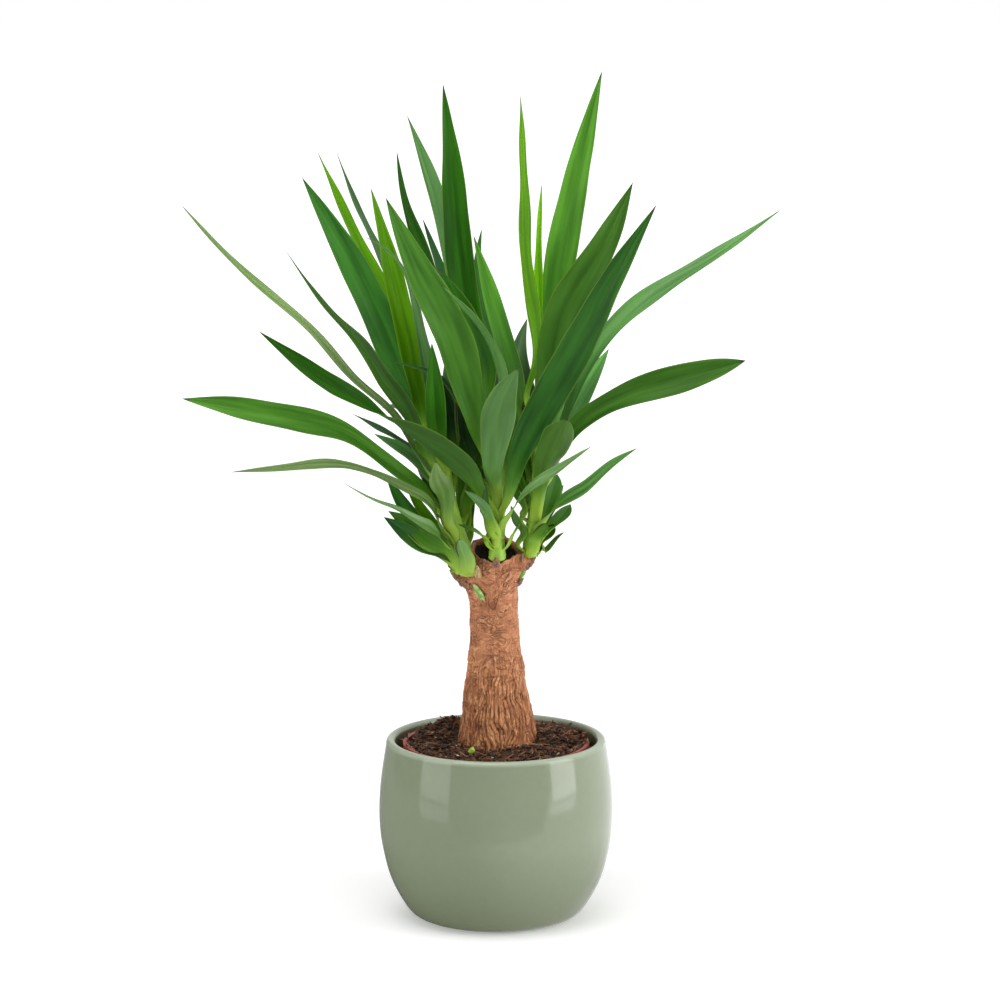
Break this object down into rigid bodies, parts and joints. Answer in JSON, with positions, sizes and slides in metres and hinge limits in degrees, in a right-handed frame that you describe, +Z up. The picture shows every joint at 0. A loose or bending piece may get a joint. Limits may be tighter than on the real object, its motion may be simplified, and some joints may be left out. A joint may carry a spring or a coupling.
{
  "type": "potted yucca",
  "caption": "Young cane yucca with crowns of sword-shaped green leaves on a thick brown stem, in a nursery pot inside a rounded sage-green glazed cover pot.",
  "frame": {"origin": "centre of the cover pot's flat foot, on the surface that the pot stands on", "axes": "+Z up along the pot's axis, -Y towards the front of the plant, +X to the right seen from the front"},
  "size_m": [0.444, 0.365, 0.63],
  "materials": {
    "celadon_glaze": "glossy sage-green glaze",
    "terracotta_plastic": "thin terracotta-red plastic",
    "peat": "loose dark brown peat with bark chips",
    "bark": "rough scaly brown bark",
    "shoot": "smooth yellow-green young sheath",
    "leaf_deep": "deep green satin leaf",
    "leaf_bright": "bright yellow-green satin leaf",
    "leaf_mid": "mid green satin leaf",
    "leaf_grey": "grey-green waxy leaf",
    "leaf_teal": "blue-green satin leaf",
    "leaf_slate": "very dark green leaf",
    "leaf_olive": "pale olive underside of a leaf"
  },
  "bodies": {
    "root": {"ceramic_pot": "celadon_glaze", "grow_pot": "terracotta_plastic", "potting_soil": "peat", "trunk": "bark", "stem_left": "shoot", "stem_centre": "shoot", "stem_right": "shoot", "leaf_left_01": "leaf_slate", "leaf_left_02": "leaf_grey", "leaf_left_03": "leaf_slate", "leaf_left_04": "leaf_olive", "leaf_left_05": "leaf_olive", "leaf_left_06": "leaf_mid", "leaf_left_07": "leaf_mid", "leaf_left_08": "leaf_slate", "leaf_left_09": "leaf_teal", "leaf_left_10": "leaf_deep", "leaf_left_11": "leaf_bright", "leaf_left_12": "leaf_mid", "leaf_left_13": "leaf_deep", "leaf_left_14": "leaf_teal", "leaf_left_15": "leaf_slate", "leaf_left_16": "leaf_teal", "leaf_left_17": "leaf_grey", "leaf_left_18": "leaf_bright", "leaf_left_19": "leaf_bright", "leaf_centre_01": "leaf_grey", "leaf_centre_02": "leaf_olive", "leaf_centre_03": "leaf_deep", "leaf_centre_04": "leaf_teal", "leaf_centre_05": "leaf_teal", "leaf_centre_06": "leaf_grey", "leaf_centre_07": "leaf_slate", "leaf_centre_08": "leaf_deep", "leaf_centre_09": "leaf_teal", "leaf_centre_10": "leaf_mid", "leaf_centre_11": "leaf_slate", "leaf_centre_12": "leaf_grey", "leaf_centre_13": "leaf_grey", "leaf_centre_14": "leaf_deep", "leaf_centre_15": "leaf_deep", "leaf_centre_16": "leaf_deep", "leaf_right_01": "leaf_grey", "leaf_right_02": "leaf_grey", "leaf_right_03": "leaf_grey", "leaf_right_04": "leaf_deep", "leaf_right_05": "leaf_mid", "leaf_right_06": "leaf_slate", "leaf_right_07": "leaf_mid", "leaf_right_08": "leaf_mid", "leaf_right_09": "leaf_grey", "leaf_right_10": "leaf_grey", "leaf_right_11": "leaf_grey", "leaf_right_12": "leaf_mid", "leaf_right_13": "leaf_mid", "leaf_right_14": "leaf_bright", "leaf_right_15": "leaf_bright", "leaf_right_16": "leaf_bright", "trunk_bud": "shoot", "soil_sprout": "shoot"}
  },
  "joints": []
}
